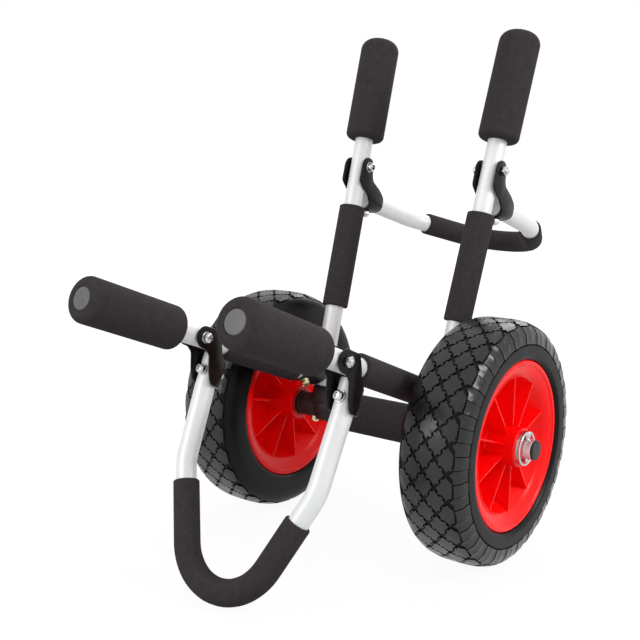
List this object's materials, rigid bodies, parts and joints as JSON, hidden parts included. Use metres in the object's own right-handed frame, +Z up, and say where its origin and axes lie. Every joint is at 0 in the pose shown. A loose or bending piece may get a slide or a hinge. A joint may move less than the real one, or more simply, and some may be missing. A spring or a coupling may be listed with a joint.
{
  "type": "paddleboard cart",
  "caption": "Two-wheeled cart with padded cradle arms and uprights and swing-out U stands for wheeling a board.",
  "frame": {"origin": "centre of the overall box, on the ground under the cart", "axes": "+X along the axle towards the right wheel, -Y towards the bumper end, +Z up"},
  "size_m": [0.4646, 0.7655, 0.6435],
  "materials": {
    "tyre_rubber": "matt black rubber",
    "red_plastic": "bright red glossy plastic",
    "bush_nylon": "natural nylon",
    "zinc_steel": "bright zinc plated",
    "black_coated_metal": "satin black powder coat",
    "black_plastic": "satin black moulded plastic",
    "anodised_aluminium": "satin clear anodised",
    "charcoal_foam": "charcoal closed-cell foam",
    "grey_plastic": "grey moulded plastic"
  },
  "bodies": {
    "frame": {"arm_left": "anodised_aluminium", "arm_right": "anodised_aluminium", "arm_sleeve_left": "charcoal_foam", "arm_sleeve_right": "charcoal_foam", "axle_foam": "charcoal_foam", "axle_plug_left": "black_plastic", "axle_plug_right": "black_plastic", "axle_shaft": "zinc_steel", "axle_spacer_left": "black_plastic", "axle_spacer_right": "black_plastic", "axle_tube": "black_coated_metal", "bumper_left": "charcoal_foam", "bumper_plug_left": "grey_plastic", "bumper_plug_right": "grey_plastic", "bumper_right": "charcoal_foam", "elbow_left": "black_plastic", "elbow_right": "black_plastic", "elbow_screw_arm_left": "zinc_steel", "elbow_screw_arm_right": "zinc_steel", "elbow_screw_upright_left": "zinc_steel", "elbow_screw_upright_right": "zinc_steel", "grip_left": "charcoal_foam", "grip_right": "charcoal_foam", "lock_pin_left": "zinc_steel", "lock_pin_right": "zinc_steel", "pivot_bolt_front_left": "zinc_steel", "pivot_bolt_front_right": "zinc_steel", "pivot_bolt_rear_left": "zinc_steel", "pivot_bolt_rear_right": "zinc_steel", "saddle_bolt_left": "zinc_steel", "saddle_bolt_right": "zinc_steel", "saddle_left": "black_plastic", "saddle_right": "black_plastic", "upright_left": "anodised_aluminium", "upright_right": "anodised_aluminium", "upright_sleeve_left": "charcoal_foam", "upright_sleeve_right": "charcoal_foam"},
    "wheel_left": {"tyre_left": "tyre_rubber", "rim_left": "red_plastic", "hub_bush_outer_left": "bush_nylon", "hub_bush_inner_left": "bush_nylon"},
    "ring_left": {"lock_ring_left": "zinc_steel"},
    "wheel_right": {"tyre_right": "tyre_rubber", "rim_right": "red_plastic", "hub_bush_outer_right": "bush_nylon", "hub_bush_inner_right": "bush_nylon"},
    "ring_right": {"lock_ring_right": "zinc_steel"},
    "stand_front": {"front_stand": "anodised_aluminium", "front_stand_foam": "charcoal_foam", "bracket_front_left": "black_coated_metal", "bracket_front_right": "black_coated_metal", "stand_bolt_front_left": "zinc_steel", "stand_bolt_front_right": "zinc_steel"},
    "stand_rear": {"rear_stand": "anodised_aluminium", "rear_stand_foam": "charcoal_foam", "bracket_rear_left": "black_coated_metal", "bracket_rear_right": "black_coated_metal", "stand_bolt_rear_left": "zinc_steel", "stand_bolt_rear_right": "zinc_steel"}
  },
  "joints": [
    {"name": "wheel_left_spin", "type": "hinge", "parent": "frame", "child": "wheel_left", "pos_m": [-0.1683, 0.01357, 0.15], "axis": [1, 0, 0], "continuous": true},
    {"name": "wheel_right_spin", "type": "hinge", "parent": "frame", "child": "wheel_right", "pos_m": [0.1683, 0.01357, 0.15], "axis": [1, 0, 0], "continuous": true},
    {"name": "front_stand_fold", "type": "hinge", "parent": "frame", "child": "stand_front", "pos_m": [0, -0.2118, 0.27909], "axis": [1, 0, 0], "range_deg": [-80, 0]},
    {"name": "rear_stand_fold", "type": "hinge", "parent": "frame", "child": "stand_rear", "pos_m": [0, 0.11713, 0.46845], "axis": [1, 0, 0], "range_deg": [0, 80]},
    {"name": "ring_left_swing", "type": "hinge", "parent": "frame", "child": "ring_left", "pos_m": [-0.219, 0.01357, 0.1696], "axis": [0, 1, 0], "range_deg": [0, 150]},
    {"name": "ring_right_swing", "type": "hinge", "parent": "frame", "child": "ring_right", "pos_m": [0.219, 0.01357, 0.1696], "axis": [0, -1, 0], "range_deg": [0, 150]}
  ]
}
